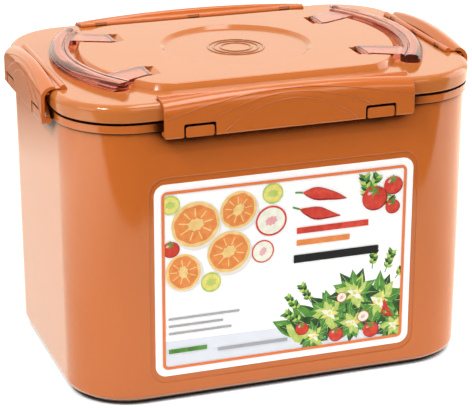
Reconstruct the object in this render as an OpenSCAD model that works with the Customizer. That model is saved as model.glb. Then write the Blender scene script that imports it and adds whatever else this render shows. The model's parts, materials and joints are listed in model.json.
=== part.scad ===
// Rectangular food keeper with an inner press plate, for pickled cabbage.
// A tub carries a flat lid that four swing latches hold down.
// Two bail handles lie round the ends of the lid's raised centre.
// Millimetres, +Z up, front towards -Y, origin under the middle of the tub.

/* [Part shown] */
// Part to draw

/* [Tub] */
// Width of the tub wall at the rim, left to right
tub_w = 299.2; // [286:0.2:312]
// Depth of the tub wall at the rim, front to back
tub_d = 212.8; // [202:0.2:226]
// Height of the rim band's top edge
tub_h = 206.5; // [192:0.1:226]
// Outer corner radius of the tub seen from above
tub_corner_r = 46.8; // [42:0.2:52]
// How much each outer wall leans in from the rim to the floor
tub_lean = 1.25; // [0.8:0.05:1.6]
// How much each inner wall leans in from the rim to the floor
bore_lean = 0.8; // [0.4:0.1:1]
// Wall thickness at the rim
tub_wall = 3.4; // [3:0.1:4]
// Floor thickness
floor_t = 3.4; // [2.6:0.1:4.5]
// Radius of the rounded edge round the floor
floor_edge_r = 5; // [4:0.5:8]
// Height of the ring that the tub stands on
stand_h = 3.5; // [2:0.1:5]
// Distance from the tub's outside to the standing ring
stand_inset = 9; // [7:0.5:14]
// Width of the standing ring
stand_w = 3; // [2.5:0.1:4]
// Height of the band round the rim
band_h = 5.4; // [4:0.2:6.4]
// How far the band stays inside the lid's skirt
band_inset = 1; // [0.8:0.1:1.6]
// Height of the thin lip above the band
lip_h = 6.6; // [6:0.1:7]

/* [Front label] */
// Label width
label_w = 190.8; // [150:0.2:192]
// Label height
label_h = 142; // [110:0.2:143]
// Height of the label's middle above the ground
label_z = 91.1; // [88:0.1:95]
// Label corner radius
label_r = 8; // [4:0.5:12]
// Thickness of the label film
label_t = 0.35; // [0.2:0.05:0.5]
// Margin of the sunk panel at the label's sides
panel_side = 3.6; // [2:0.2:5]
// Margin of the sunk panel above and below the label
panel_end = 4.8; // [3:0.2:6]
// Depth of the sunk panel
panel_t = 0.7; // [0.6:0.05:1]

/* [Lid] */
// How far the lid's skirt stands out from the tub wall
skirt_out = 2.4; // [2.3:0.1:3.4]
// Thickness of the skirt
skirt_t = 2.2; // [1.8:0.1:2.3]
// Height of the skirt
skirt_h = 11.9; // [11.6:0.1:12.4]
// Open gap between the rim band and the skirt
skirt_gap = 2; // [1.4:0.1:2.4]
// Thickness of the lid's flat ledge
ledge_t = 2.2; // [2:0.1:2.6]
// Radius of the skirt's rounded top edge
skirt_edge_r = 4.8; // [3:0.1:5]
// Height of the raised centre above the ledge
centre_h = 4.5; // [4.3:0.1:5.2]
// Distance from the skirt to the raised centre's round ends
centre_end = 38; // [37.4:0.1:41]
// Distance from the skirt to the raised centre's straight sides
centre_side = 27.4; // [25:0.1:31]
// Radius of the raised centre's corners seen from above
centre_corner_r = 25; // [15:1:32]
// Radius of the round dish in the middle
dish_r = 55; // [50:0.5:57]
// Depth of the dish
dish_t = 2.3; // [1.6:0.1:2.4]
// Radius of the outer plain ring in the dish
ring_r = 20.8; // [19:0.2:26]

/* [Latches] */
// Length of the front and back latches
latch_long = 180; // [170:1:186]
// Length of the side latches
latch_short = 111; // [106:1:116]
// How far the latch face stands out from the skirt
latch_out = 6.9; // [6.4:0.1:7.4]
// Wall thickness of a latch
latch_t = 2.6; // [2.2:0.1:2.8]
// Distance from a latch's foot up to the lid's ledge
latch_drop = 23.6; // [23.3:0.1:24]
// Height of the crest above the ledge in the middle of a long latch
crest_long = 5.3; // [4:0.1:6]
// Height of the crest above the ledge at the ends of a long latch
crest_long_end = 1.5; // [1.4:0.1:2]
// Height of the crest above the ledge in the middle of a side latch
crest_short = 7.3; // [5:0.1:8]
// Height of the crest above the ledge at the ends of a side latch
crest_short_end = 2.6; // [1.6:0.1:3]
// Radius of the shoulder between crest and face
shoulder_r = 8.5; // [7.5:0.1:9]
// Distance from the skirt back to the hinge line
hinge_in = 9; // [8.6:0.1:9.6]
// Radius of the hinge bead
bead_r = 2.4; // [2.3:0.05:2.6]
// Width of a notch in the latch face
notch_w = 23; // [18:0.5:26]
// Height of a notch
notch_h = 9.8; // [9:0.1:10.4]
// Place of the notches on the long latches, from the middle
notch_long = 65.3; // [60:0.1:67]
// Place of the notches on the short latches, from the middle
notch_short = 37.6; // [34:0.2:39]
// Height of the thin raised lines on a latch face
line_t = 0.25; // [0.2:0.05:0.5]

/* [Handles] */
// Gap between the raised centre and a handle's grip
grip_gap = 6.5; // [6:0.1:6.8]
// Width of the grip seen from above
grip_w = 14.4; // [13:0.1:18]
// Half of the angle that a grip spans
grip_angle = 35.5; // [34:0.5:37]
// Distance from the grip's inner edge to the pivot
arm_reach = 39.7; // [38.5:0.1:41]
// Inner edge of an arm at its pivot, from the middle
arm_in = 34.5; // [33:0.5:36]
// Outer edge of an arm at its pivot, from the middle
arm_outer = 56; // [54:0.5:57]
// Thickness of an arm
arm_t = 3.6; // [3.2:0.1:3.8]

/* [Press plate] */
// Height of the press plate above the ground, as it is stored
press_z = 140; // [120:1:144]
// Height of the press plate's rim wall
press_rim_h = 14; // [11:0.5:16]
// Length of the press handle from its pivot
bail_l = 42; // [34:1:44]
// Half width of the press handle
bail_w = 46; // [40:1:50]
// Distance from the plate's right edge to the middle of the vent plug
vent_inset = 43.7; // [30:0.1:50]

/* [Fits] */
// Radial clearance of the latch pins and handle pins
pin_gap = 0.06; // [0.05:0.01:0.1]
// Room beside parts that move past each other
move_gap = 0.6; // [0.5:0.05:0.7]
// Clearance between the press seal and the tub at the floor
seal_gap = 0.5; // [0.4:0.1:0.8]
// Gap between a latch foot and the rim band
foot_gap = 0.3; // [0.3:0.05:0.5]

/* [Hidden] */
$fn = 72;
eps = 0.02;

shell = [0.87, 0.50, 0.31];
shell_light = [0.94, 0.66, 0.50];
glassy = [0.62, 0.27, 0.19];
film = [0.97, 0.96, 0.93];
silicone = [0.93, 0.91, 0.88];

// corner centres that the tub, its lip and the seals share
corner_x = tub_w / 2 - tub_corner_r;
corner_y = tub_d / 2 - tub_corner_r;
lip_out = tub_w / 2 - 0.8;
lip_in = tub_w / 2 - tub_wall;
lip_top = tub_h + lip_h;

lid_w = tub_w + 2 * skirt_out;
lid_d = tub_d + 2 * skirt_out;
skirt_z = tub_h + skirt_gap;
ledge_z = skirt_z + skirt_h;
under_z = ledge_z - ledge_t;
top_z = ledge_z + centre_h;
centre_r = lid_w / 2 - centre_end;
centre_y = lid_d / 2 - centre_side;
dish_z = top_z - dish_t;

// lid gasket and the channel that holds it
channel_z = ledge_z - 3.4;
skirt_in = lid_w / 2 - skirt_t;
seal_out = skirt_in - 0.2;
seal_in = lip_in - 0.9;
seal_bottom = lip_top + 0.1;
rib_t = 1.4;
// the ledge is thicker from here out, under the latch hinges and the gasket
thick_from = lid_w / 2 - hinge_in - bead_r - 1.6;

// latches
hinge_z = ledge_z + 0.7;
pin_r = 0.9;
lug_r = 1.75;
lug_w = 8;
latch_bottom = ledge_z - latch_drop;
foot_in = -band_inset + foot_gap;
// gap between the ledge and a closed latch, and top of the flat strip beside its bead
latch_under = ledge_z + 0.45;
strip_z = ledge_z + 1.25;

// handles
grip_in = centre_r + grip_gap;
grip_z = ledge_z + 0.5;
pivot_x = grip_in - arm_reach;
pivot_z = top_z - 2;
barrel_r = 2.2;
handle_pin_r = 1.2;
handle_pin_l = 2.4;
arm_z = top_z + 0.5 - arm_t;

// press plate
floor_gap = bore_lean * (1 - 40 / tub_h);
press_seal = tub_w / 2 - tub_wall - floor_gap - seal_gap;
press_edge = press_seal - 3.4;
bail_z = press_z + 10;
vent_x = press_edge - vent_inset;

// radius of a line round the tub at half width h, with the shared corner centres
function round_at(h) = h - corner_x;
// points of an arc
function arc(cx, cy, r, a0, a1, n) =
    [for (i = [0 : n]) let (t = a0 + (a1 - a0) * i / n) [cx + r * cos(t), cy + r * sin(t)]];
// point at radius r and angle a
function polar(r, a) = [r * cos(a), r * sin(a)];

// rounded rectangle, w by d
module plan(w, d, r) {
    square([w - 2 * r, d], center = true);
    square([w, d - 2 * r], center = true);
    for (x = [-1, 1], y = [-1, 1])
        translate([x * (w / 2 - r), y * (d / 2 - r)])
            circle(r);
}

// rounded slab with the tub's corner centres, half width h
module tub_slab(h, z0, z1) {
    translate([0, 0, z0])
        linear_extrude(z1 - z0)
            plan(2 * h, 2 * (h - corner_x + corner_y), round_at(h));
}

// rounded slab inset from the lid's skirt by k
module lid_slab(k, z0, z1) {
    tub_slab(lid_w / 2 - k, z0, z1);
}

// ring with the tub's corner centres
module tub_ring(h_out, h_in, z0, z1) {
    difference() {
        tub_slab(h_out, z0, z1);
        tub_slab(h_in, z0 - 1, z1 + 1);
    }
}

// places a child at the front, right, back or left edge of the lid, with -Y outwards
module at_side(turn, reach) {
    rotate([0, 0, turn])
        translate([0, -reach, 0])
            children();
}

// block with rounded corners seen from the front, starting at y0 and going back by t
module front_block(w, z0, z1, r, y0, t) {
    translate([0, y0 + t, (z0 + z1) / 2])
        rotate([90, 0, 0])
            linear_extrude(t)
                plan(w, z1 - z0, r);
}

// half width of the tub's outside at height z
function out_at(z) = tub_w / 2 - tub_lean * (1 - min(z, tub_h) / tub_h);
// half width of the tub's inside at height z
function in_at(z) = lip_in - bore_lean * (1 - min(z, tub_h) / tub_h);

// outside of the tub up to the rim, as one loft
module tub_outside() {
    edge = [[0, 1], [0.07, 0.64], [0.29, 0.29], [0.62, 0.076], [1, 0]];
    hull() {
        for (e = edge)
            tub_slab(out_at(stand_h) - e[1] * floor_edge_r, stand_h + e[0] * floor_edge_r,
                     stand_h + e[0] * floor_edge_r + 0.05, $fn = 48);
        tub_slab(out_at(tub_h), tub_h - 0.5, tub_h, $fn = 48);
    }
}

// space inside the tub, as one loft
module tub_inside() {
    r = floor_edge_r - 1;
    low = stand_h + floor_t;
    hull() {
        for (e = [[0, 0.8], [0.2, 0.3], [1, 0]])
            tub_slab(in_at(low) - e[1] * r, low + e[0] * r, low + e[0] * r + 0.05, $fn = 48);
        tub_slab(in_at(tub_h), tub_h - 0.5, lip_top + 1, $fn = 48);
    }
}

// leans a child with the front wall, with its Y axis up the wall and Z out of it
module on_front_wall(z) {
    slope = atan(tub_lean / tub_h);
    front = tub_d / 2 - tub_lean * (1 - z / tub_h);
    translate([0, -front, z])
        rotate([90 + slope, 0, 0])
            children();
}

// catch blocks under the rim that the latch notches pass over
module catch_blocks(places) {
    for (x = [-1, 1])
        translate([x * places, 0, 0])
            front_block(notch_w - 3, latch_bottom + 0.3, latch_bottom + notch_h - 2, 1.6,
                        -latch_out + 0.4, latch_out - 0.4 + skirt_out + 1.6);
}

module container_body() {
    color(shell) difference() {
        union() {
            tub_outside();
            stand_out = out_at(0) - stand_inset;
            tub_ring(stand_out, stand_out - stand_w, 0, stand_h + 1);
            lid_slab(band_inset, tub_h - band_h, tub_h);
            tub_slab(lip_out, tub_h - 1, lip_top);
            for (turn = [0, 180])
                at_side(turn, lid_d / 2) catch_blocks(notch_long);
            for (turn = [90, 270])
                at_side(turn, lid_w / 2) catch_blocks(notch_short);
        }
        tub_inside();
        // sunk panel for the label
        on_front_wall(label_z)
            translate([0, 0, -panel_t])
                linear_extrude(4)
                    plan(label_w + 2 * panel_side, label_h + 2 * panel_end, label_r + panel_side);
    }
}

module label() {
    color(film) on_front_wall(label_z)
        translate([0, 0, -panel_t])
            linear_extrude(label_t)
                plan(label_w, label_h, label_r);
}

// points along an arc, without its last one
function open_arc(cx, cy, r, a0, a1, n) =
    [for (i = [0 : n - 1]) let (t = a0 + (a1 - a0) * i / n) [cx + r * cos(t), cy + r * sin(t)]];

// corner centres of the raised centre, and the angle at which its round ends stop
centre_cy = centre_y - centre_corner_r;
centre_cx = sqrt(pow(centre_r - centre_corner_r, 2) - pow(centre_cy, 2));
centre_a = atan2(centre_cy, centre_cx);

// plan of the lid's raised centre, smaller by k on every side
module centre_plan(k) {
    polygon([for (q = [0, 180])
        for (p = concat(open_arc(0, 0, centre_r - k, -centre_a, centre_a, 28),
                        open_arc(centre_cx, centre_cy, centre_corner_r - k, centre_a, 90, 8),
                        open_arc(-centre_cx, centre_cy, centre_corner_r - k, 90, 180 - centre_a, 8),
                        [[-centre_cx + (centre_corner_r - k) * cos(180 - centre_a),
                          centre_cy + (centre_corner_r - k) * sin(180 - centre_a)]]))
            let (u = [p[0] * cos(q) - p[1] * sin(q), p[0] * sin(q) + p[1] * cos(q)])
                u]);
}

// raised centre with sloping sides and a rounded top edge, as one loft
module centre_loft() {
    hull()
        for (e = [[-3.4, -1], [-2.7, 0], [-0.1, centre_h - 0.95], [0.2, centre_h - 0.5], [0.6, centre_h - 0.2],
                  [1.3, centre_h]])
            translate([0, 0, ledge_z + e[1] - 0.05])
                linear_extrude(0.05)
                    centre_plan(e[0]);
}

// skirt and ledge, as one loft
module lid_loft() {
    e = skirt_edge_r;
    hull() {
        lid_slab(0.5, skirt_z, skirt_z + 0.1, $fn = 60);
        lid_slab(0, skirt_z + 0.7, ledge_z - e, $fn = 60);
        for (t = [18, 36, 54, 72, 90])
            lid_slab(e * (1 - cos(t)), ledge_z - e * (1 - sin(t)) - 0.03, ledge_z - e * (1 - sin(t)), $fn = 60);
    }
}

// outline of one handle arm, grown by g, reaching r out from the middle
module arm_plan(g, r) {
    polygon(concat([[pivot_x + 3.3, arm_in - g], [pivot_x - g, arm_in - g], [pivot_x - g, arm_outer + g],
                    [pivot_x + 3.3, arm_outer + g]],
                   [polar(r, grip_angle - 2.8 + g / 1.2), polar(r, grip_angle - 12.6 - g / 1.2)]));
}

// room in the lid for one arm, its barrel, its pins and the thumb ramp beside it
module arm_pocket() {
    g = move_gap;
    depth = pivot_z - barrel_r - g / 2;
    translate([0, 0, arm_z - g])
        linear_extrude(10)
            arm_plan(g, grip_in + 6);
    translate([pivot_x - barrel_r - g, arm_in - g, depth])
        cube([2 * barrel_r + 2 * g, arm_outer - arm_in + 2 * g, 10]);
    translate([pivot_x, arm_in - handle_pin_l - g, pivot_z])
        rotate([-90, 0, 0])
            cylinder(r = handle_pin_r + pin_gap, h = arm_outer - arm_in + 2 * handle_pin_l + 2 * g);
    translate([pivot_x - barrel_r - g, arm_outer - 1, 0])
        rotate([90, 0, 0])
            linear_extrude(arm_outer - arm_in - 2)
                polygon([[-4.6, top_z + eps], [1, top_z - 3.7], [1, top_z + 4], [-4.6, top_z + 4]]);
}

// repeats a child at the four arm places
module at_arms() {
    for (x = [0, 1], y = [0, 1])
        mirror([x, 0, 0])
            mirror([0, y, 0])
                children();
}

// lugs on the lid that hold a latch's pin
module latch_lugs(places) {
    for (x = places)
        translate([x - lug_w / 2, hinge_in, hinge_z])
            difference() {
                union() {
                    rotate([0, 90, 0])
                        cylinder(r = lug_r, h = lug_w);
                    translate([0, -1.2, -3.2])
                        cube([lug_w, 2.4, 3.2]);
                }
                translate([-1, 0, 0])
                    rotate([0, 90, 0])
                        cylinder(r = pin_r + pin_gap, h = lug_w + 2);
            }
}

// groove in the ledge under a latch's bead
module bead_groove(len) {
    translate([-len / 2 - 0.6, hinge_in - bead_r - 0.4, hinge_z - bead_r - 0.3])
        cube([len + 1.2, 2 * bead_r + 0.8, 10]);
}

function lug_places(len) = [for (k = [-1, 0, 1]) k * (len / 2 - 16)];

// underside of the raised centre, thick only round the dish and the arms
module centre_hollow() {
    translate([0, 0, under_z - 3])
        linear_extrude(top_z - 2.2 - under_z + 3)
            difference() {
                centre_plan(2.8);
                circle(dish_r + 2.4);
                at_arms() {
                    arm_plan(4.2, grip_in + 8);
                    translate([pivot_x - 9.5, arm_in - 4.2])
                        square([14, arm_outer - arm_in + 8.4]);
                }
            }
}

module lid() {
    color(shell_light) union() {
        difference() {
            union() {
                lid_loft();
                centre_loft();
            }
            lid_slab(skirt_t, skirt_z - 1, under_z);
            centre_hollow();
            translate([0, 0, dish_z])
                cylinder(r1 = dish_r - 3.4, r2 = dish_r + 1.6, h = dish_t * 5 / 3.4);
            at_arms() arm_pocket();
            for (turn = [0, 180])
                at_side(turn, lid_d / 2) bead_groove(latch_long);
            for (turn = [90, 270])
                at_side(turn, lid_w / 2) bead_groove(latch_short);
        }
        // plain rings in the dish
        for (r = [ring_r, ring_r - 4, ring_r - 9])
            translate([0, 0, dish_z - 0.5])
                difference() {
                    cylinder(r = r, h = 1);
                    translate([0, 0, -1])
                        cylinder(r = r - 1.1, h = 3);
                }
        // gasket channel
        tub_ring(skirt_in + 0.3, thick_from, channel_z, under_z + 0.2);
        tub_ring(seal_in - 0.3, seal_in - 0.3 - rib_t, lip_top - 2, channel_z + 0.1);
        for (turn = [0, 180])
            at_side(turn, lid_d / 2) latch_lugs(lug_places(latch_long));
        for (turn = [90, 270])
            at_side(turn, lid_w / 2) latch_lugs(lug_places(latch_short));
    }
}

module lid_gasket() {
    color(silicone) union() {
        tub_ring(seal_out, seal_in, seal_bottom + 1.2, channel_z);
        tub_ring(seal_out - 0.8, seal_in + 0.8, seal_bottom, seal_bottom + 1.3);
    }
}

// cross section of a latch below its outer skin, x outwards from the skirt and y up
module latch_section(end_h, mid_h) {
    face = latch_out;
    inner = face - latch_t;
    low = latch_bottom;
    knee = ledge_z + end_h - shoulder_r;
    inner_r = latch_under - knee;
    high = ledge_z + mid_h + 3;
    polygon(concat(
        [[-hinge_in, hinge_z], [-hinge_in, high], [face + 2, high], [face + 2, low + 2.9]],
        arc(face - 2.2, low + 2.2, 2.4, 0, -90, 6),
        [[foot_in + 1.5, low], [foot_in + 0.5, low + 0.5], [foot_in, low + 1.5], [foot_in, low + 2.8],
         [foot_in + 0.5, low + 3.8], [foot_in + 1.5, low + 4.3]],
        [[inner - 1.2, low + 4.5], [inner - 0.3, low + 4.9], [inner, low + 5.8]],
        arc(inner - inner_r, knee, inner_r, 0, 90, 9),
        [[-hinge_in + 2, latch_under]]));
}

// outer skin of a latch, grown by g: a slice of a wide ring whose crest is highest in the middle
module latch_skin(len, end_h, mid_h, g) {
    rise = mid_h - end_h;
    ring_radius = (len * len / 4 + rise * rise) / (2 * rise);
    half_turn = asin((len / 2 + 4) / (ring_radius - 40));
    // depth of the shoulder's centre line below the crest
    face = latch_out - shoulder_r;
    top = ring_radius;
    translate([0, 0, ledge_z + mid_h - ring_radius])
        rotate([90, 0, 0])
            rotate([0, 0, 90 - half_turn])
                rotate_extrude(angle = 2 * half_turn, $fn = 720)
                    polygon(concat(
                        [[top - 38, face - 4.4], [top - 4.6, face - 4.4], [top - 1.1 + g, face - 2],
                         [top - 0.3 + g, face - 1.1]],
                        [for (t = [0 : 7.5 : 90])
                            [top - shoulder_r + (shoulder_r + g) * cos(t), face + (shoulder_r + g) * sin(t)]],
                        [[top - 38, face + shoulder_r + g]]));
}

// thin raised line over a latch's face and shoulder, an arc of radius r with its top at height z
module face_line(z, r, len, end_h, mid_h) {
    intersection() {
        translate([0, -latch_out + 8, z - r])
            rotate([90, 0, 0])
                difference() {
                    cylinder(r = r, h = 10, $fn = 240);
                    translate([0, 0, -1])
                        cylinder(r = r - 0.8, h = 12, $fn = 240);
                }
        latch_skin(len, end_h, mid_h, line_t);
        translate([-len / 2 + 1, -latch_out - 2, latch_bottom + 2.6])
            cube([len - 2, latch_out + 1.5, latch_drop + mid_h]);
    }
}

// room in the bead for one lug, open from below and from behind
module lug_room() {
    rotate([90, 0, -90])
        linear_extrude(lug_w + 0.6, center = true)
            translate([-hinge_in, hinge_z]) {
                circle(lug_r + 0.2);
                polygon([[0, 0], [-4, 4], [-4, -4], [3, -4], [3, 0]]);
            }
}

// one latch in its side frame, with the heights of its crest at the ends and in the middle
module latch(len, notch_x, end_h, mid_h) {
    difference() {
        union() {
            intersection() {
                rotate([90, 0, -90])
                    linear_extrude(len + 6, center = true)
                        latch_section(end_h, mid_h);
                union() {
                    latch_skin(len, end_h, mid_h, 0);
                    translate([-len / 2 - 5, 1, ledge_z - 4])
                        cube([len + 10, hinge_in + 4, strip_z - ledge_z + 4]);
                }
                front_block(len, latch_bottom - eps, ledge_z + mid_h + 6, 2.2, -latch_out - 4, latch_out + hinge_in + 8);
            }
            translate([-len / 2, hinge_in, hinge_z])
                rotate([0, 90, 0])
                    cylinder(r = bead_r, h = len);
            // three long arcs one above the other, like hills
            face_line(ledge_z + mid_h - 7.9, len * 0.39, len, end_h, mid_h);
            face_line(ledge_z + mid_h - 3.6, len * 0.7, len, end_h, mid_h);
            face_line(ledge_z + mid_h - 1.2, len * 1.66, len, end_h, mid_h);
        }
        for (x = lug_places(len))
            translate([x, 0, 0]) lug_room();
        for (x = [-notch_x, notch_x])
            translate([x, 0, 0])
                front_block(notch_w, latch_bottom - 4, latch_bottom + notch_h, 1.8, -latch_out - 2, latch_out + 6);
    }
    translate([-len / 2 + 8, hinge_in, hinge_z])
        rotate([0, 90, 0])
            cylinder(r = pin_r, h = len - 16);
}

module latch_front() {
    color(shell) at_side(0, lid_d / 2) latch(latch_long, notch_long, crest_long_end, crest_long);
}

module latch_back() {
    color(shell) at_side(180, lid_d / 2) latch(latch_long, notch_long, crest_long_end, crest_long);
}

module latch_left() {
    color(shell_light) at_side(270, lid_w / 2) latch(latch_short, notch_short, crest_short_end, crest_short);
}

module latch_right() {
    color(shell) at_side(90, lid_w / 2) latch(latch_short, notch_short, crest_short_end, crest_short);
}

// section of the grip, x outwards from its inner edge and y up from its underside:
// a rounded top with a fine groove along its inner edge, and two ribs round the outer side
function grip_section() = let (w = grip_w / 14.4) [
    [0, 0], [0, 4.8], [0.5 * w, 5.4], [3 * w, 5.8], [3.7 * w, 4.9], [4.4 * w, 4.9], [5.1 * w, 5.9],
    [7 * w, 6.4], [8.8 * w, 6.5], [10.6 * w, 6.2], [12 * w, 5.6], [13 * w, 4.8], [13.5 * w, 4],
    [13 * w, 3.5], [13 * w, 3.2], [14 * w, 2.9], [14.3 * w, 2.5], [14 * w, 2], [13.3 * w, 1.7],
    [13.3 * w, 1.3], [14.2 * w, 1], [14.4 * w, 0.5], [14.2 * w, 0]];

// plan of the grip, wider than the grip itself but with round ends
module grip_plan() {
    r = grip_in + grip_w / 2;
    end_r = grip_w / 2 + 0.8;
    a = grip_angle - asin(end_r / r);
    polygon(concat(arc(0, 0, r + grip_w, -a, a, 24), arc(0, 0, r - grip_w, a, -a, 24)));
    for (s = [-a, a])
        translate(polar(r, s)) circle(end_r);
}

// one bail handle, lying round the right end of the raised centre
module handle() {
    intersection() {
        translate([0, 0, grip_z])
            rotate([0, 0, -grip_angle - 2])
                rotate_extrude(angle = 2 * grip_angle + 4, $fn = 144)
                    translate([grip_in, 0])
                        polygon(grip_section());
        translate([0, 0, grip_z - 5])
            linear_extrude(20)
                grip_plan();
    }
    for (y = [0, 1])
        mirror([0, y, 0]) {
            translate([0, 0, arm_z])
                linear_extrude(arm_t)
                    arm_plan(0, grip_in + 3);
            translate([pivot_x, arm_in, pivot_z])
                rotate([-90, 0, 0])
                    cylinder(r = barrel_r, h = arm_outer - arm_in);
            translate([pivot_x, arm_in - handle_pin_l, pivot_z])
                rotate([-90, 0, 0])
                    cylinder(r = handle_pin_r, h = arm_outer - arm_in + 2 * handle_pin_l);
        }
}

module handle_right() {
    color(glassy) handle();
}

module handle_left() {
    color(glassy) mirror([1, 0, 0]) handle();
}

module press_plate() {
    lug_x = bail_w + move_gap;
    color(shell_light) difference() {
        union() {
            // flange under the seal, plate and rim wall
            tub_slab(press_edge + 2.4, press_z, press_z + 2);
            tub_slab(press_edge, press_z, press_z + 3);
            tub_ring(press_edge, press_edge - 2.4, press_z, press_z + press_rim_h);
            // stiffening ribs
            for (y = [-62, 62])
                translate([-press_edge + 1, y - 1, press_z + 2])
                    cube([2 * press_edge - 2, 2, 5]);
            for (x = [-74, 74])
                translate([x - 1, -62, press_z + 2])
                    cube([2, 124, 5]);
            // lugs for the handle
            for (x = [-1, 1])
                translate([x * (lug_x + 3), 0, 0]) {
                    translate([-3, -6, press_z + 2])
                        cube([6, 12, bail_z - press_z - 2]);
                    translate([-3, 0, bail_z])
                        rotate([0, 90, 0])
                            cylinder(r = 6, h = 6);
                }
            // vent boss
            translate([vent_x, 0, press_z])
                cylinder(r = 9.5, h = 8);
        }
        for (x = [-1, 1])
            translate([x * (lug_x + 3) - 4, 0, bail_z])
                rotate([0, 90, 0])
                    cylinder(r = 2.5 + pin_gap, h = 8);
        translate([vent_x, 0, press_z - 1])
            cylinder(r = 6, h = 12);
    }
}

module press_gasket() {
    color(silicone) union() {
        tub_ring(press_edge + 2.4, press_edge, press_z + 2, press_z + 9);
        tub_ring(press_seal, press_edge + 2.2, press_z + 3.4, press_z + 5);
        tub_ring(press_seal, press_edge + 2.2, press_z + 6.6, press_z + 8.2);
    }
}

module press_handle() {
    color(shell) union() {
        translate([0, 0, bail_z - 3])
            linear_extrude(6)
                difference() {
                    union() {
                        translate([0, bail_l / 2])
                            plan(2 * bail_w, bail_l, 14);
                        for (x = [-1, 1])
                            translate([x * (bail_w - 4), bail_l / 4])
                                square([8, bail_l / 2], center = true);
                    }
                    translate([0, bail_l / 2 - 12])
                        plan(2 * bail_w - 16, bail_l, 8);
                }
        for (x = [-1, 1]) {
            translate([x * (bail_w - 4) - 4, 0, bail_z])
                rotate([0, 90, 0])
                    cylinder(r = 3, h = 8);
            translate([x * (bail_w + 1.5) - 5, 0, bail_z])
                rotate([0, 90, 0])
                    cylinder(r = 2.5, h = 10);
        }
    }
}

module vent_plug() {
    color(silicone) difference() {
        union() {
            translate([vent_x, 0, press_z + 1])
                cylinder(r = 5.9, h = 8);
            translate([vent_x, 0, press_z + 8.05])
                cylinder(r = 8.6, h = 3.2);
        }
        translate([vent_x, 0, press_z + 26])
            sphere(r = 16);
    }
}

container_body();
label();
lid();
lid_gasket();
latch_front();
latch_back();
latch_left();
latch_right();
handle_left();
handle_right();
press_plate();
press_gasket();
press_handle();
vent_plug();
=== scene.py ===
import json
import math
import random

import bmesh
import bpy
from mathutils import Matrix, Vector

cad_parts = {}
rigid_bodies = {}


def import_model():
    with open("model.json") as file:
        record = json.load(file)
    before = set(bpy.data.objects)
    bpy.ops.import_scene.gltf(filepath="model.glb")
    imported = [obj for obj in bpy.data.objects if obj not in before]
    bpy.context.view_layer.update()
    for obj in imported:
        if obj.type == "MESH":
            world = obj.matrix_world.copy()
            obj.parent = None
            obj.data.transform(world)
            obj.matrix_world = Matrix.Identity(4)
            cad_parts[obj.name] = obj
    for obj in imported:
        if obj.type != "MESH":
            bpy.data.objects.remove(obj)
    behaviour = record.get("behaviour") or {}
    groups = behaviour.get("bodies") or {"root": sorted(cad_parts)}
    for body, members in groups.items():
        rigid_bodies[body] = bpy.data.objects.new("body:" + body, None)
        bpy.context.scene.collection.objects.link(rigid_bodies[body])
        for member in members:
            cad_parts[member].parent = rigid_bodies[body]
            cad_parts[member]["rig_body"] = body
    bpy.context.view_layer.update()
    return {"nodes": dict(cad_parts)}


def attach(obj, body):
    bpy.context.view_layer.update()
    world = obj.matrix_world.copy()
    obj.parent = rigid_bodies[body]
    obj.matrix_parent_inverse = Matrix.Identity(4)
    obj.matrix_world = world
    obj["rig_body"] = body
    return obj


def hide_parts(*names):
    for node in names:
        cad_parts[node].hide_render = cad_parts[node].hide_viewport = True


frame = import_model()
scene = bpy.context.scene
MM = 0.001


# shader nodes

def feed(tree, node, inputs):
    """Fills a node's inputs, each with a number, a colour or another node's output."""
    for key, value in inputs.items():
        if isinstance(value, bpy.types.NodeSocket):
            tree.links.new(value, node.inputs[key])
        else:
            node.inputs[key].default_value = value
    return node


def add(tree, kind, inputs):
    """A new node with its inputs filled."""
    return feed(tree, tree.nodes.new("ShaderNode" + kind), inputs)


def calc(tree, operation, *values):
    """The result of one operation on numbers."""
    node = tree.nodes.new("ShaderNodeMath")
    node.operation = operation
    return feed(tree, node, dict(enumerate(values))).outputs[0]


def mixed(tree, kind, factor, a, b):
    """a where factor is 0 and b where it is 1; kind is RGBA for colours and FLOAT for numbers."""
    node = tree.nodes.new("ShaderNodeMix")
    node.data_type = kind
    return feed(tree, node, {"A": a, "B": b, "Factor": factor}).outputs["Result"]


def mixed_shaders(tree, factor, a, b):
    return add(tree, "MixShader", {"Fac": factor, 1: a, 2: b}).outputs["Shader"]


def spread(tree, value, start, end, low, high):
    """low up to where value is start, high from where it is end, and a straight slope between."""
    return add(tree, "MapRange", {"From Min": start, "From Max": end, "To Min": low, "To Max": high,
                                  "Value": value}).outputs["Result"]


def span(tree, value, low, high):
    """value 0 to 1 spread over low to high."""
    return spread(tree, value, 0.0, 1.0, low, high)


def place_on_object(tree):
    """Where a point lies in its object's own frame, in metres."""
    return tree.nodes.new("ShaderNodeTexCoord").outputs["Object"]


def noise(tree, place, scale, detail=3.0):
    return add(tree, "TexNoise", {"Scale": scale, "Detail": detail, "Vector": place}).outputs["Fac"]


def softened_normal(tree, radius):
    """The surface's direction with its edges rounded to a radius in millimetres."""
    bevel = add(tree, "Bevel", {"Radius": radius * MM})
    bevel.samples = 6
    return bevel.outputs["Normal"]


def painted_gap_shade(tree, reach, floor, low, high, local=False):
    """A painted shade factor that goes from 1 in the open to floor in gaps and inner corners.

    Surfaces within reach count, with local only the object's own. The factor is floor where the open share
    of the surroundings is low or less, and 1 where it is high or more.
    """
    openness = add(tree, "AmbientOcclusion", {"Distance": reach})
    openness.samples = 8
    openness.only_local = local
    return spread(tree, openness.outputs["AO"], low, high, floor, 1.0)


def new_material(name):
    """A new material, its node tree and the inputs of its output node."""
    material = bpy.data.materials.new(name)
    material.use_nodes = True
    tree = material.node_tree
    tree.nodes.clear()
    return material, tree, tree.nodes.new("ShaderNodeOutputMaterial").inputs


# materials of the object

PLASTIC_IOR = 1.5
CLEAR_IOR = 1.52
# noise scales in cycles per metre: slow changes of tone, and quicker ones of gloss
TONE_SCALE, GLOSS_SCALE = 14.0, 60.0
SKIN_DEPTH = 0.4 * MM
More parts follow.
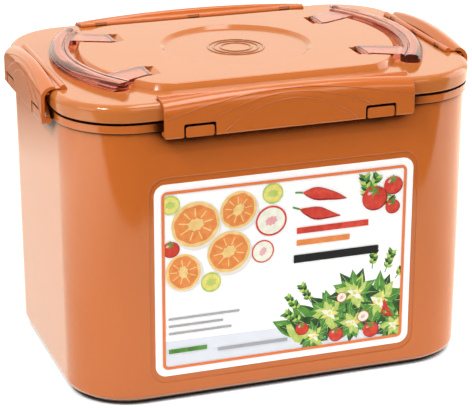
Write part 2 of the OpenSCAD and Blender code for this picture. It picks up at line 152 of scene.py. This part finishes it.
# heights in metres between which the weak painted shade on the tub's shallow steps gives way to the dark
# painted shade in the gaps near its rim
STEPS_BELOW, GAPS_ABOVE = 0.165, 0.185
STEP_LOW, STEP_HIGH = 0.15, 0.48


def plastic(name, color, rough, edge, vary=0.04, bump=0.02, grain=900.0, reach=0.006, floor=0.06,
            local=False, low=0.30, high=0.80, soft_below=False):
    """Moulded plastic: slightly uneven tone and gloss, a fine skin, softly broken edges and painted shade in
    its gaps.

    rough is the mean roughness, vary the share by which the tone varies, and edge the edges' radius in
    millimetres. bump and grain are the skin's strength and scale. The rest says how the painted shade
    darkens gaps.
    """
    material, tree, surface = new_material(name)
    place = place_on_object(tree)
    darker = tuple(c * (1 - vary) for c in color)
    lighter = tuple(min(1, c * (1 + vary)) for c in color)
    tone = mixed(tree, "RGBA", noise(tree, place, TONE_SCALE), (*darker, 1), (*lighter, 1))
    roughness = span(tree, noise(tree, place, GLOSS_SCALE), rough * 0.8, rough * 1.2)
    shader = add(tree, "BsdfPrincipled", {"IOR": PLASTIC_IOR, "Roughness": roughness})
    if reach:
        if soft_below:
            # the painted shade is dark in gaps near the rim, and weak on shallow steps further down
            height = add(tree, "SeparateXYZ", {0: place}).outputs["Z"]
            near_rim = spread(tree, height, STEPS_BELOW, GAPS_ABOVE, 0.0, 1.0)
            low = span(tree, near_rim, STEP_LOW, low)
            high = span(tree, near_rim, STEP_HIGH, high)
        openness = painted_gap_shade(tree, reach, floor, low, high, local)
        # painted shade: the tone is scaled down in gaps and inner corners, and the gloss with it
        shaded = tree.nodes.new("ShaderNodeVectorMath")
        shaded.operation = "SCALE"
        tone = feed(tree, shaded, {0: tone, "Scale": openness}).outputs["Vector"]
        feed(tree, shader, {"Specular IOR Level": span(tree, openness, 0.0, 0.5)})
    grains = noise(tree, place, grain, 4.0)
    skin = add(tree, "Bump", {"Strength": bump, "Distance": SKIN_DEPTH, "Height": grains})
    if edge:
        feed(tree, skin, {"Normal": softened_normal(tree, edge)})
    feed(tree, shader, {"Base Color": tone, "Normal": skin.outputs["Normal"]})
    tree.links.new(shader.outputs["BSDF"], surface["Surface"])
    return material


def clear_plastic(name, tint, absorb, density, shade, cloud, cloudy):
    """Clear tinted plastic: it darkens with the length of the way through, and its shadow is tinted.

    cloudy is the share of the light that the plastic itself scatters, in the colour cloud.
    """
    material, tree, surface = new_material(name)
    place = place_on_object(tree)
    slow = noise(tree, place, 20.0)
    normal = softened_normal(tree, 0.3)
    paler = tuple(min(1, c * 1.03) for c in tint)
    glass = add(tree, "BsdfPrincipled", {
        "Base Color": mixed(tree, "RGBA", slow, (*tint, 1), (*paler, 1)), "IOR": CLEAR_IOR,
        "Roughness": span(tree, noise(tree, place, 70.0), 0.015, 0.05), "Transmission Weight": 1.0,
        "Normal": normal})
    brighter = tuple(c * 1.15 for c in cloud)
    milk = add(tree, "BsdfPrincipled", {
        "Base Color": mixed(tree, "RGBA", slow, (*cloud, 1), (*brighter, 1)), "Roughness": 0.08,
        "Normal": normal})
    body = mixed_shaders(tree, cloudy, glass.outputs["BSDF"], milk.outputs["BSDF"])
    shadow = add(tree, "BsdfTransparent", {"Color": (*shade, 1)}).outputs["BSDF"]
    is_shadow = tree.nodes.new("ShaderNodeLightPath").outputs["Is Shadow Ray"]
    tree.links.new(mixed_shaders(tree, is_shadow, body, shadow), surface["Surface"])
    inside = add(tree, "VolumeAbsorption", {"Color": (*absorb, 1), "Density": density})
    tree.links.new(inside.outputs["Volume"], surface["Volume"])
    return material


# painted light: an even glow added to a material
def painted_glow(material, strength):
    shader = next(n for n in material.node_tree.nodes if n.type == "BSDF_PRINCIPLED")
    feed(material.node_tree, shader, {"Emission Color": (1, 1, 1, 1), "Emission Strength": strength})


TERRACOTTA = (0.585, 0.140, 0.021)
LID_TERRACOTTA = (0.560, 0.162, 0.034)
# painted shade: all these plastics but the film are darkened in their gaps and inner corners, the tub widely
# enough to give dark bands under its latches and rim
inner_skin = plastic("terracotta_shell", TERRACOTTA, rough=0.09, edge=0.3)
tub_skin = plastic("terracotta_tub", TERRACOTTA, rough=0.09, edge=0.9, reach=0.018, low=0.76, high=0.93,
                   soft_below=True)
latch_skin = plastic("terracotta_latch", TERRACOTTA, rough=0.14, edge=0.5, reach=0.003, floor=0.12,
                     low=0.10, high=0.45)
lid_skin = plastic("terracotta_lid", LID_TERRACOTTA, rough=0.12, edge=0.8, reach=0.005, floor=0.25,
                   local=True, high=0.92)
clear_brown = clear_plastic("clear_brown", tint=(0.97, 0.84, 0.80), absorb=(0.74, 0.32, 0.18), density=125.0,
                            shade=(0.86, 0.60, 0.52), cloud=(0.42, 0.11, 0.075), cloudy=0.07)
silicone = plastic("soft_silicone", (0.82, 0.80, 0.75), rough=0.45, edge=0.3, vary=0.02)
film = plastic("label_film", (0.96, 0.955, 0.945), rough=0.42, edge=0.0, vary=0.01, bump=0.015, grain=300.0,
               reach=0.0)
# painted light: the film glows a little so that its white shows brighter than plain pigment
painted_glow(film, 0.11)


def ink(name, color, second=None, vary=0.12, scale=220.0):
    """Print of an uneven tone, from a little under color up to second or to a little over color."""
    material, tree, surface = new_material(name)
    patches = span(tree, noise(tree, place_on_object(tree), scale, 5.0), -0.4, 1.4)
    darker = tuple(c * (1 - vary) for c in color)
    lighter = second or tuple(min(1, c * (1 + vary) + 0.004) for c in color)
    shader = add(tree, "BsdfPrincipled", {
        "Base Color": mixed(tree, "RGBA", patches, (*darker, 1), (*lighter, 1)), "Roughness": 0.45,
        "Specular IOR Level": 0.15})
    tree.links.new(shader.outputs["BSDF"], surface["Surface"])
    return material


INKS = {
    "line_orange": ink("ink_orange_line", (0.82, 0.22, 0.07), vary=0.03),
    "strip": ink("ink_pale_strip", (0.80, 0.84, 0.90), vary=0.02, scale=40.0),
    "leaf": ink("ink_leaf", (0.055, 0.20, 0.035), (0.16, 0.42, 0.07)),
    "leaf_dark": ink("ink_leaf_dark", (0.012, 0.045, 0.018), (0.05, 0.15, 0.04)),
    "leaf_light": ink("ink_leaf_light", (0.42, 0.60, 0.10), (0.66, 0.76, 0.22)),
    "stalk": ink("ink_stalk", (0.80, 0.84, 0.55), (0.90, 0.90, 0.72)),
    "red": ink("ink_red", (0.62, 0.035, 0.025), (0.80, 0.10, 0.06)),
    "red_dark": ink("ink_red_dark", (0.33, 0.015, 0.02)),
    "orange": ink("ink_orange", (0.86, 0.25, 0.06), (0.92, 0.34, 0.10)),
    "orange_light": ink("ink_orange_light", (0.93, 0.60, 0.20), (0.95, 0.70, 0.32)),
    "yellow": ink("ink_yellow", (0.85, 0.72, 0.12), (0.92, 0.84, 0.30)),
    "pink": ink("ink_pink", (0.86, 0.36, 0.38), (0.92, 0.60, 0.58)),
    "cream": ink("ink_cream", (0.93, 0.90, 0.76)),
    "shade": ink("ink_soft_shade", (0.84, 0.80, 0.76), vary=0.03),
    "shade_dark": ink("ink_grey", (0.42, 0.42, 0.44), vary=0.05),
    "soot": ink("ink_black", (0.012, 0.012, 0.014), vary=0.1),
}


# pieces from the CAD solids

WELD = 0.002 * MM
SAME_PLANE = math.radians(0.05)
SHARP_FROM = math.radians(28.0)


def new_object(name, data):
    """An object in the scene that shows a mesh, light or camera."""
    o = bpy.data.objects.new(name, data)
    scene.collection.objects.link(o)
    return o


def smooth_copy(node, material):
    """A welded copy of a CAD solid with smooth shading that stands for it."""
    src = frame["nodes"][node]
    mesh = src.data.copy()
    mesh.name = node + "_skin"
    bm = bmesh.new()
    bm.from_mesh(mesh)
    bmesh.ops.remove_doubles(bm, verts=bm.verts, dist=WELD)
    bmesh.ops.dissolve_limit(bm, angle_limit=SAME_PLANE, verts=bm.verts, edges=bm.edges)
    bm.to_mesh(mesh)
    bm.free()
    for name in ("custom_normal", "sharp_edge", "sharp_face"):
        if name in mesh.attributes:
            mesh.attributes.remove(mesh.attributes[name])
    for polygon in mesh.polygons:
        polygon.use_smooth = True
    mesh.set_sharp_from_angle(angle=SHARP_FROM)
    mesh.materials.clear()
    mesh.materials.append(material)
    o = new_object(node + "_skin", mesh)
    shading = o.modifiers.new("weighted", "WEIGHTED_NORMAL")
    shading.keep_sharp = True
    shading.weight = 60
    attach(o, src["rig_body"])
    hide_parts(node)


smooth_copy("container_body", tub_skin)
smooth_copy("lid", lid_skin)
smooth_copy("lid_gasket", silicone)
for side in ("front", "back", "left", "right"):
    smooth_copy("latch_" + side, latch_skin)
for side in ("left", "right"):
    smooth_copy("handle_" + side, clear_brown)
smooth_copy("press_plate", lid_skin)
smooth_copy("press_gasket", silicone)
smooth_copy("press_handle", inner_skin)
smooth_copy("vent_plug", silicone)
smooth_copy("label", film)


# print on the label: a generic vegetable design, in millimetres from the label's middle

# the tub's depth and height, how far its wall leans, and the film's size and height, as in part.scad
TUB_D, TUB_H, LEAN = 212.8, 206.5, 1.25
LABEL_W, LABEL_H, LABEL_Z = 190.8, 142.0, 91.1
# the film's face lies under the wall's, the print a little above the film, and each shape above the last one
FILM_FACE = -0.35
PRINT_LIFT = 0.02
PRINT_STEP = 0.0006
# the line round the print, which covers the edges of the clipped shapes
LINE_INSET, LINE_WIDTH, LINE_RADIUS = 5.0, 2.2, 4.2
CLIP_INSET = 7.0
# points of a disc, lengths along a leaf and steps round a corner
DISC_POINTS, LEAF_STEPS, CORNER_STEPS = 40, 12, 10

wall_y = TUB_D / 2 - LEAN * (1 - LABEL_Z / TUB_H)
wall_lean = math.atan(LEAN / TUB_H)
label_turn = Matrix.Rotation(math.pi / 2 + wall_lean, 4, "X")
label_frame = Matrix.Translation((0, -wall_y * MM, LABEL_Z * MM)) @ label_turn


def turned(points, x, y, angle):
    """Points turned about the origin and moved to x, y."""
    c, s = math.cos(angle), math.sin(angle)
    return [(x + u * c - v * s, y + u * s + v * c) for u, v in points]


def rounded_rectangle(w, h, r):
    x, y = w / 2 - r, h / 2 - r
    points = []
    for cx, cy, start in ((x, y, 0), (-x, y, 90), (-x, -y, 180), (x, -y, 270)):
        for i in range(CORNER_STEPS + 1):
            t = math.radians(start + 90 * i / CORNER_STEPS)
            points.append((cx + r * math.cos(t), cy + r * math.sin(t)))
    return points


def clipped(points):
    """Points cut off under the frame line."""
    across, up = LABEL_W / 2 - CLIP_INSET, LABEL_H / 2 - CLIP_INSET
    for axis, side, limit in ((0, 1, across), (0, -1, across), (1, 1, up), (1, -1, up)):
        kept = []
        for i, q in enumerate(points):
            p = points[i - 1]
            dp, dq = side * p[axis] - limit, side * q[axis] - limit
            if (dp > 0) != (dq > 0):
                t = dp / (dp - dq)
                kept.append((p[0] + (q[0] - p[0]) * t, p[1] + (q[1] - p[1]) * t))
            if dq <= 0:
                kept.append(q)
        points = kept
        if len(points) < 3:
            return []
    return points


class Print:
    """Flat shapes in millimetres on the label, each a little above the one before."""

    def __init__(self):
        self.bm = bmesh.new()
        self.names = []
        self.level = 0

    def face(self, name, points):
        """A flat face in one ink at the present level."""
        if name not in self.names:
            self.names.append(name)
        z = FILM_FACE + PRINT_LIFT + self.level * PRINT_STEP
        verts = [self.bm.verts.new(label_frame @ (Vector((x, y, z)) * MM)) for x, y in points]
        self.bm.faces.new(verts).material_index = self.names.index(name)

    def shape(self, name, points):
        """A clipped shape one level above the last one."""
        points = clipped(points)
        if points:
            self.level += 1
            self.face(name, points)

    def disc(self, name, cx, cy, r, ry=None, turn=0.0, wobble=0.0, seed=0.0):
        """A round or oval spot, with an uneven edge where wobble says so."""
        points = []
        for i in range(DISC_POINTS):
            t = 2 * math.pi * i / DISC_POINTS
            k = 1 + wobble * math.sin(3 * t + seed) * math.sin(5 * t + 2 * seed)
            points.append((r * k * math.cos(t), (ry or r) * k * math.sin(t)))
        self.shape(name, turned(points, cx, cy, turn))

    def leaf(self, name, x, y, length, width, turn, vein=None, curl=0.0):
        """A pointed leaf from its root at x, y, with a vein that thins out towards the tip."""
        angle = math.radians(turn)
        shares = [i / LEAF_STEPS for i in range(LEAF_STEPS + 1)]
        middle = [(length * t, curl * length * t ** 2) for t in shares]
        left, right = [], []
        for t, (u, v) in zip(shares, middle):
            half = width / 2 * math.sin(math.pi * t ** 0.8) * (1 + 0.10 * math.sin(9 * t + x))
            left.append((u, v + half))
            right.append((u, v - half))
        self.shape(name, turned(left + right[::-1][1:-1], x, y, angle))
        if vein:
            root = max(0.22, width * 0.035)
            over = [(u, v + root * (1 - u / length)) for u, v in middle[:-1]]
            under = [(u, v - root * (1 - u / length)) for u, v in middle[:-1]]
            self.shape(vein, turned(over + under[::-1], x, y, angle))

    def bar(self, name, x0, y0, x1, y1, width):
        """A straight stroke between two points."""
        dx, dy = x1 - x0, y1 - y0
        k = width / 2 / math.hypot(dx, dy)
        nx, ny = -dy * k, dx * k
        self.shape(name, [(x0 + nx, y0 + ny), (x1 + nx, y1 + ny), (x1 - nx, y1 - ny), (x0 - nx, y0 - ny)])

    def frame_line(self, name, inset, width, r):
        """A line with round corners along the label's edge."""
        self.level += 1
        inner = inset + width
        a = rounded_rectangle(LABEL_W - 2 * inset, LABEL_H - 2 * inset, r)
        b = rounded_rectangle(LABEL_W - 2 * inner, LABEL_H - 2 * inner, r - width)
        for i in range(len(a)):
            j = (i + 1) % len(a)
            self.face(name, [a[i], a[j], b[j], b[i]])

    def finish(self, name):
        """Turns every face outwards and makes one piece of the print."""
        bmesh.ops.recalc_face_normals(self.bm, faces=self.bm.faces)
        for face in self.bm.faces:
            if face.normal.y > 0:
                face.normal_flip()
        mesh = bpy.data.meshes.new(name)
        self.bm.to_mesh(mesh)
        self.bm.free()
        for ink_name in self.names:
            mesh.materials.append(INKS[ink_name])
        o = new_object(name, mesh)
        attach(o, "container")


art = Print()


def pale_strip():
    """A pale strip along the label's foot, up to the frame line."""
    across = LABEL_W / 2 - LINE_INSET - LINE_WIDTH
    foot = LINE_INSET + LINE_WIDTH - LABEL_H / 2
    art.shape("strip", [(-across, foot), (across, foot), (across, -47.5), (-across, -44.5)])


def carrot_coin(x, y, r, turn):
    art.disc("orange_light", x, y, r, r * 0.94, turn)
    art.disc("orange", x, y, r * 0.86, r * 0.80, turn, wobble=0.05)
    art.disc("orange_light", x, y, r * 0.30, r * 0.27, turn, wobble=0.2)
    for i in range(9):
        t = turn + i * 2 * math.pi / 9
        art.bar("orange_light", x + r * 0.34 * math.cos(t), y + r * 0.32 * math.sin(t),
                x + r * 0.72 * math.cos(t), y + r * 0.68 * math.sin(t), r * 0.05)


def radish_slice(x, y, r, turn):
    art.disc("red", x, y, r, r * 0.96, turn)
    art.disc("cream", x, y, r * 0.88, r * 0.84, turn)
    art.disc("pink", x, y, r * 0.34, r * 0.30, turn, wobble=0.25)


def cucumber_slice(x, y, r):
    art.disc("leaf_light", x, y, r)
    art.disc("yellow", x, y, r * 0.84, wobble=0.05)
    art.disc("leaf_light", x, y, r * 0.42, wobble=0.3)


def tomato(x, y, r, seed):
    art.disc("red_dark", x + r * 0.05, y - r * 0.06, r, r * 0.95)
    art.disc("red", x, y, r * 0.95, r * 0.90, wobble=0.02, seed=seed)
    art.disc("pink", x - r * 0.35, y + r * 0.38, r * 0.22, r * 0.13, 0.5)
    for i in range(5):
        art.leaf("leaf", x, y + r * 0.55, r * 0.55, r * 0.2, seed * 20 + i * 72)


def pepper(x, y, length, width, turn, curl):
    art.leaf("red_dark", x, y - 0.4, length, width * 1.05, turn, curl=curl)
    art.leaf("red", x, y, length * 0.97, width * 0.86, turn, curl=curl)
    a = math.radians(turn + 180)
    art.bar("leaf", x, y, x + 5.5 * math.cos(a), y + 5.5 * math.sin(a), 1.3)


LEAF_RINGS = [
    # leaves, their reach as a share of the head's, and their inks, from the outside in
    (11, 1.0, ("leaf_dark", "leaf", "leaf_dark", "leaf")),
    (9, 0.78, ("leaf", "leaf_light", "leaf")),
    (8, 0.58, ("leaf_light", "leaf", "leaf_light")),
    (7, 0.38, ("yellow", "leaf_light", "cream")),
]


def leafy_head(x, y, size, seed):
    """A loose leafy head seen from above: dark outer leaves, light ones inside, a pale heart."""
    rng = random.Random(seed)
    for ring, (count, reach, inks) in enumerate(LEAF_RINGS):
        stalk = None if ring == len(LEAF_RINGS) - 1 else "stalk"
        for i in range(count):
            turn = 360 * (i + rng.uniform(-0.3, 0.3)) / count + ring * 17
            length = size * reach * rng.uniform(0.85, 1.15)
            width = length * rng.uniform(0.34, 0.52)
            art.leaf(inks[i % len(inks)], x, y, length, width, turn, stalk, rng.uniform(-0.12, 0.12))
    art.disc("cream", x, y, size * 0.13, wobble=0.2, seed=seed)
    art.disc("yellow", x, y, size * 0.07, wobble=0.3, seed=seed + 1)


def sprig(x, y, length, turn, rng):
    """A thin stem with small leaves on both sides."""
    inks = ("leaf", "leaf_light", "leaf_dark")
    a = math.radians(turn)
    art.bar("leaf", x, y, x + length * math.cos(a), y + length * math.sin(a), 0.7)
    for i in range(2, 9):
        px, py = x + length * i / 9 * math.cos(a), y + length * i / 9 * math.sin(a)
        for side in (-1, 1):
            leaf_length = length * 0.26 * rng.uniform(0.8, 1.2)
            leaf_turn = turn + side * rng.uniform(35, 60)
            art.leaf(inks[(i + side) % len(inks)], px, py, leaf_length, 2.3, leaf_turn)


def bed_of_leaves(rng):
    """Leaves that fan out from the label's foot under the heads."""
    inks = ("leaf_dark", "leaf", "leaf_dark", "leaf_light")
    for i in range(26):
        t = rng.uniform(0, 1)
        y = -58 + 6 * rng.random()
        length = rng.uniform(22, 38) * (1 - 0.25 * abs(t - 0.5))
        width = rng.uniform(9, 15)
        turn = 150 - 120 * t + rng.uniform(-14, 14)
        art.leaf(inks[i % len(inks)], 18 + 66 * t, y, length, width, turn, "stalk", rng.uniform(-0.1, 0.1))


def lower_right(rng):
    """Leafy heads with small vegetables between them."""
    bed_of_leaves(rng)
    for x, y, turn in ((14, -44, 148), (12, -36, 128), (20, -30, 118), (76, -14, 70), (84, -20, 52),
                       (66, -10, 84)):
        sprig(x, y, 17, turn, rng)
    for x, y, size, seed in ((34, -40, 19, 3), (72, -36, 22, 8), (53, -27, 19, 12), (52, -50, 15, 21),
                             (84, -56, 14, 30), (22, -56, 13, 41)):
        leafy_head(x, y, size, seed)
    for x, y, r, seed in ((39, -57, 5.6, 1), (66, -57, 6.2, 2.4), (13, -49, 5.0, 0.4)):
        tomato(x, y, r, seed)
    radish_slice(60, -46, 4.6, 0.4)
    radish_slice(43, -29, 4.0, 0.9)
    for i in range(5):
        pepper(74 + 2.4 * i, -46 + 3 * math.sin(i), 9, 2.6, 60 + 25 * i, 0.1)


def upper_left():
    """Slices of roots and cucumbers."""
    for x, y, r, turn in ((-66, 40, 17.5, 0.2), (-35, 47, 14.0, 0.9), (-75, 6, 13.5, 1.7),
                          (-42, 17, 16.0, 0.5)):
        art.disc("shade", x + 0.8, y - 1.0, r * 1.03)
        carrot_coin(x, y, r, turn)
    radish_slice(-11, 36, 11.5, 0.3)
    radish_slice(-17, 14, 8.5, 1.0)
    for x, y, r in ((-10, 56, 7.6), (-55, -4, 7.4), (-84, 56, 7.0)):
        cucumber_slice(x, y, r)
    tomato(-84, 24, 6.2, 1.4)


def upper_right(rng):
    """Peppers, herbs and tomatoes."""
    pepper(12, 54, 34, 9.0, -6, -0.12)
    pepper(10, 42, 32, 8.5, -20, 0.10)
    for x, y, turn in ((58, 42, 20), (58, 42, 60), (60, 44, -12), (62, 40, 100)):
        sprig(x, y, 22, turn, rng)
    for x, y, r, seed in ((66, 44, 9.6, 1.9), (80, 52, 7.2, 0.6), (80, 36, 5.6, 2.2)):
        tomato(x, y, r, seed)


def plain_bars():
    """Level bars where a maker would print lines of words: ink, start, end, height and width."""
    for name, x0, x1, y, w in (
            ("red", 8, 62, 26, 4.6), ("orange", 8, 48, 17, 4.2), ("soot", 6, 70, 5, 6.0),
            ("shade_dark", -86, -34, -28, 1.8), ("shade_dark", -86, -46, -33.5, 1.8),
            ("shade_dark", -86, -40, -39, 1.8), ("leaf", -86, -58, -52.5, 3.2),
            ("shade_dark", -50, 2, -55.5, 2.4)):
        art.bar(name, x0, y, x1, y, w)


plant_rng = random.Random(5)
pale_strip()
lower_right(plant_rng)
upper_left()
upper_right(plant_rng)
plain_bars()
art.frame_line("line_orange", LINE_INSET, LINE_WIDTH, LINE_RADIUS)
art.finish("label_print")


# floor and backdrop, in metres

# the front wall mirrors the floor, so the paper's front edge shows there
FLOOR_FRONT, FLOOR_BACK = -0.445, 2.3
COVE_RADIUS, COVE_STEPS = 0.5, 12
BACKDROP_TOP = 3.4
SWEEP_HALF_WIDTH = 3.5
# painted contact shadow on the paper: how far it reaches and how dark it is
CONTACT_REACH = 0.006
CONTACT_SHADOW_COLOR, PAPER_COLOR = (0.05, 0.02, 0.01, 1), (0.93, 0.93, 0.93, 1)
CAMERA_LIFT = 0.55
GLOW_COLOR = (1, 0.955, 0.82, 1)
NEAR_GLOW, FAR_GLOW, BACKDROP_GLOW = 1.6, 0.35, 1.62
# a brighter stretch on each side: where it starts, where it is full, and how much it adds
SIDE_GLOWS = ((-0.28, -0.60, 1.2), (0.26, 0.55, 0.9))


def reflected_glow(tree):
    """What glossy surfaces see of the paper: bright all round, less so on the floor far to the back left."""
    x, y, z = add(tree, "SeparateXYZ", {0: place_on_object(tree)}).outputs
    on_floor = spread(tree, calc(tree, "SUBTRACT", y, x), start=0.68, end=0.95, low=NEAR_GLOW, high=FAR_GLOW)
    on_backdrop = spread(tree, z, start=0.0, end=0.15, low=0.0, high=BACKDROP_GLOW)
    strength = calc(tree, "MAXIMUM", on_floor, on_backdrop)
    near = spread(tree, y, start=0.6, end=1.0, low=1.0, high=0.0)
    for start, end, more in SIDE_GLOWS:
        aside = spread(tree, x, start, end, 0.0, more)
        strength = calc(tree, "MULTIPLY_ADD", aside, near, strength)
    return add(tree, "Emission", {"Color": GLOW_COLOR, "Strength": strength}).outputs["Emission"]


def paper_surface(tree, is_camera):
    """White paper with a painted contact shadow where the object touches it. For the camera it is lifted to
    white, but not in that painted shadow.
    """
    painted_contact_shadow = painted_gap_shade(tree, CONTACT_REACH, 0.0, low=0.25, high=0.55)
    tone = mixed(tree, "RGBA", painted_contact_shadow, CONTACT_SHADOW_COLOR, PAPER_COLOR)
    paper = add(tree, "BsdfDiffuse", {"Color": tone})
    in_the_open = span(tree, painted_gap_shade(tree, CONTACT_REACH, 0.0, low=0.35, high=0.65), 0.0, CAMERA_LIFT)
    lift = add(tree, "Emission", {"Strength": calc(tree, "MULTIPLY", is_camera, in_the_open)})
    return add(tree, "AddShader", {0: paper.outputs["BSDF"], 1: lift.outputs["Emission"]}).outputs["Shader"]


def floor_material():
    """Paper with a glow of its own that only glossy surfaces see."""
    material, tree, surface = new_material("studio_paper")
    rays = tree.nodes.new("ShaderNodeLightPath").outputs
    paper = paper_surface(tree, rays["Is Camera Ray"])
    seen = mixed_shaders(tree, rays["Is Glossy Ray"], paper, reflected_glow(tree))
    tree.links.new(seen, surface["Surface"])
    return material


def studio_sweep():
    """Floor and backdrop in one sheet: a profile of (y, z) points swept along X."""
    profile = [(FLOOR_FRONT, 0.0), (FLOOR_BACK, 0.0)]
    for i in range(1, COVE_STEPS + 1):
        t = math.radians(90 * i / COVE_STEPS)
        profile.append((FLOOR_BACK + COVE_RADIUS * math.sin(t), COVE_RADIUS - COVE_RADIUS * math.cos(t)))
    profile.append((FLOOR_BACK + COVE_RADIUS, BACKDROP_TOP))
    n = len(profile)
    verts = [(x, y, z) for x in (-SWEEP_HALF_WIDTH, SWEEP_HALF_WIDTH) for y, z in profile]
    faces = [(i, i + 1, n + i + 1, n + i) for i in range(n - 1)]
    mesh = bpy.data.meshes.new("studio_sweep")
    mesh.from_pydata(verts, [], faces)
    mesh.materials.append(floor_material())
    for polygon in mesh.polygons:
        polygon.use_smooth = True
    o = new_object("studio_sweep", mesh)


studio_sweep()


# lights, in metres and watts

def area(name, place, aim_z, size_x, size_y, power):
    """A rectangular light that looks at a point on the object's axis."""
    light = bpy.data.lights.new(name, "AREA")
    light.energy = power
    light.shape = "RECTANGLE"
    light.size = size_x
    light.size_y = size_y
    o = new_object(name, light)
    o.location = place
    o.rotation_euler = (Vector((0, 0, aim_z)) - Vector(place)).to_track_quat("-Z", "Y").to_euler()


area("key_light", (-0.90, -0.60, 1.30), aim_z=0.15, size_x=0.34, size_y=0.16, power=11.4)
area("top_light", (0.3, -0.15, 1.7), aim_z=0.2, size_x=1.0, size_y=0.5, power=10.0)
area("left_light", (-1.7, -0.5, 0.8), aim_z=0.12, size_x=1.0, size_y=1.0, power=6.0)
area("right_light", (1.7, 0.0, 0.6), aim_z=0.12, size_x=1.6, size_y=1.6, power=24.0)
area("front_light", (0.5, -1.85, 1.5), aim_z=0.1, size_x=1.4, size_y=0.8, power=8.2)


SOFT_LIGHT = 0.30
# glossy surfaces see a dark room in front and a bright one at the sides and behind
DARK_ROOM, BRIGHT_ROOM = 0.12, 0.8


def studio_world():
    """Soft light all round, which the camera sees as white and glossy surfaces as a room."""
    world = bpy.data.worlds.new("studio")
    scene.world = world
    world.use_nodes = True
    tree = world.node_tree
    tree.nodes.clear()
    rays = tree.nodes.new("ShaderNodeLightPath").outputs
    direction = tree.nodes.new("ShaderNodeTexCoord").outputs["Generated"]
    backwards = add(tree, "SeparateXYZ", {0: direction}).outputs["Y"]
    room = spread(tree, backwards, start=-0.35, end=0.25, low=DARK_ROOM, high=BRIGHT_ROOM)
    strength = mixed(tree, "FLOAT", rays["Is Glossy Ray"], SOFT_LIGHT, room)
    white_for_camera = calc(tree, "ADD", rays["Is Camera Ray"], strength)
    light = add(tree, "Background", {"Color": (1, 1, 1, 1), "Strength": white_for_camera})
    add(tree, "OutputWorld", {"Surface": light.outputs["Background"]})


studio_world()


# camera at the photograph's place

# fitted to edges of the object in the photograph, which is 472 pixels wide
AZIMUTH, ELEVATION, ROLL = math.radians(-19.31), math.radians(20.09), math.radians(0.06)
TARGET = Vector((0.25, 0.0, 100.74)) * MM
DISTANCE = 1.44686
PHOTO_WIDTH = 472
FOCAL_PIXELS = 1939.28
SENSOR_WIDTH = 36.0


def photo_camera():
    """The scene's camera, from its fitted place, turn and focal length."""
    back = Vector((math.sin(AZIMUTH) * math.cos(ELEVATION), -math.cos(AZIMUTH) * math.cos(ELEVATION),
                   math.sin(ELEVATION)))
    level_right = (-back).cross(Vector((0, 0, 1))).normalized()
    level_up = level_right.cross(-back)
    right = level_right * math.cos(ROLL) + level_up * math.sin(ROLL)
    up = level_up * math.cos(ROLL) - level_right * math.sin(ROLL)
    place = TARGET + back * DISTANCE
    lens = bpy.data.cameras.new("photo_camera")
    lens.sensor_fit = "HORIZONTAL"
    lens.sensor_width = SENSOR_WIDTH
    lens.lens = SENSOR_WIDTH * FOCAL_PIXELS / PHOTO_WIDTH
    lens.clip_start = 0.05
    lens.clip_end = 20
    camera = new_object("photo_camera", lens)
    camera.matrix_world = Matrix((
        (right.x, up.x, back.x, place.x), (right.y, up.y, back.y, place.y),
        (right.z, up.z, back.z, place.z), (0, 0, 0, 1)))
    scene.camera = camera


photo_camera()
scene.view_settings.view_transform = "Standard"
